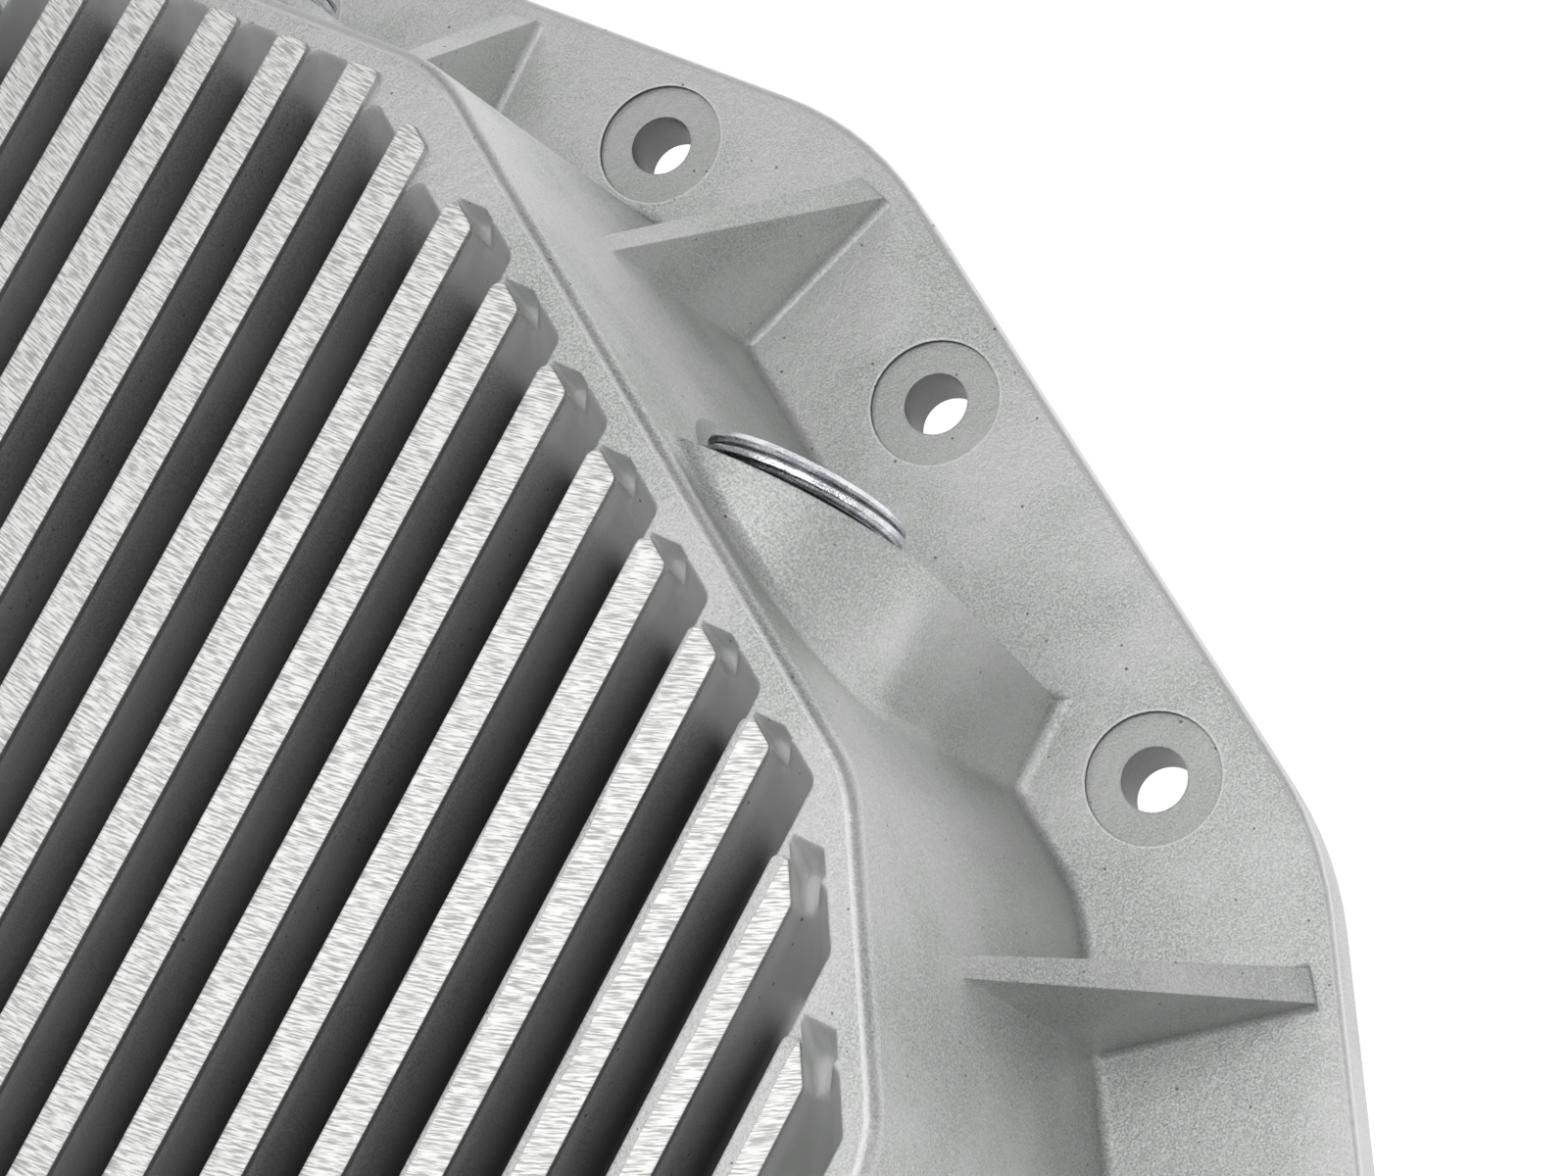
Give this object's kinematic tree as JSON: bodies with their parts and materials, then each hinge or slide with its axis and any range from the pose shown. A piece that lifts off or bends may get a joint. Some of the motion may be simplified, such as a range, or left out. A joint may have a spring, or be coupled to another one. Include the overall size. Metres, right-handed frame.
{
  "type": "differential cover",
  "caption": "Cast finned cover that bolts over the open back of a drive axle and holds its oil, with two threaded plugs in side bosses.",
  "frame": {"origin": "middle of the gasket face", "axes": "+Z out of the axle through the fins, +Y along the fins towards the side with the plug bosses, +X across the fins towards the narrow end"},
  "size_m": [0.3512, 0.3652, 0.0982],
  "materials": {
    "cast_aluminium": "blasted raw casting, fin tops milled bright",
    "plated_steel": "bright zinc plated steel"
  },
  "bodies": {
    "root": {"cover": "cast_aluminium", "fill_plug": "plated_steel", "drain_plug": "plated_steel"}
  },
  "joints": []
}
